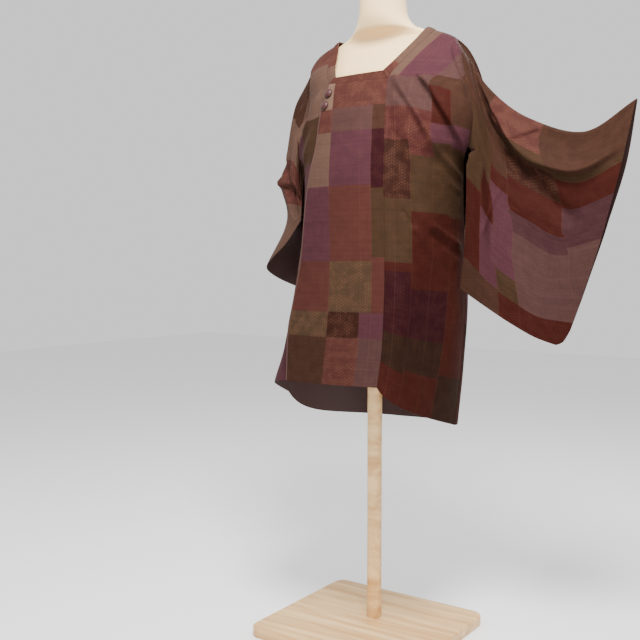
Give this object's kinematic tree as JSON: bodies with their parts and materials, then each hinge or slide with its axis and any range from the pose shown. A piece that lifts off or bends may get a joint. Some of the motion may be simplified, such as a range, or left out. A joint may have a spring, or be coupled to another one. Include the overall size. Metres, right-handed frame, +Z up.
{
  "type": "michiyuki coat on a dress form",
  "caption": "Square-necked Japanese overcoat with hanging sleeves and a patchwork weave, worn by a limbless cloth-covered dress form on a wooden board.",
  "frame": {"origin": "underside of the board, on the floor, below the dress form's axis", "axes": "+Z up along the dress form, -Y to the wearer's front, +X to the wearer's left"},
  "size_m": [0.8448, 0.36, 1.44],
  "materials": {
    "coat_cloth": "silk weave with a soft sheen, in patches of muted brick, purple, olive and tan",
    "button_cloth": "silk pulled over a domed button",
    "form_cloth": "smooth matt cream jersey",
    "pale_wood": "satin clear varnish"
  },
  "bodies": {
    "root": {"body_left": "coat_cloth", "body_right": "coat_cloth", "tate_eri_left": "coat_cloth", "tate_eri_right": "coat_cloth", "neckband_front": "coat_cloth", "neckband_left": "coat_cloth", "neckband_right": "coat_cloth", "neckband_back": "coat_cloth", "sleeve_left": "coat_cloth", "sleeve_right": "coat_cloth", "button_upper": "button_cloth", "button_lower": "button_cloth", "form_torso": "form_cloth", "stand_pole": "pale_wood", "base_board": "pale_wood"}
  },
  "joints": []
}
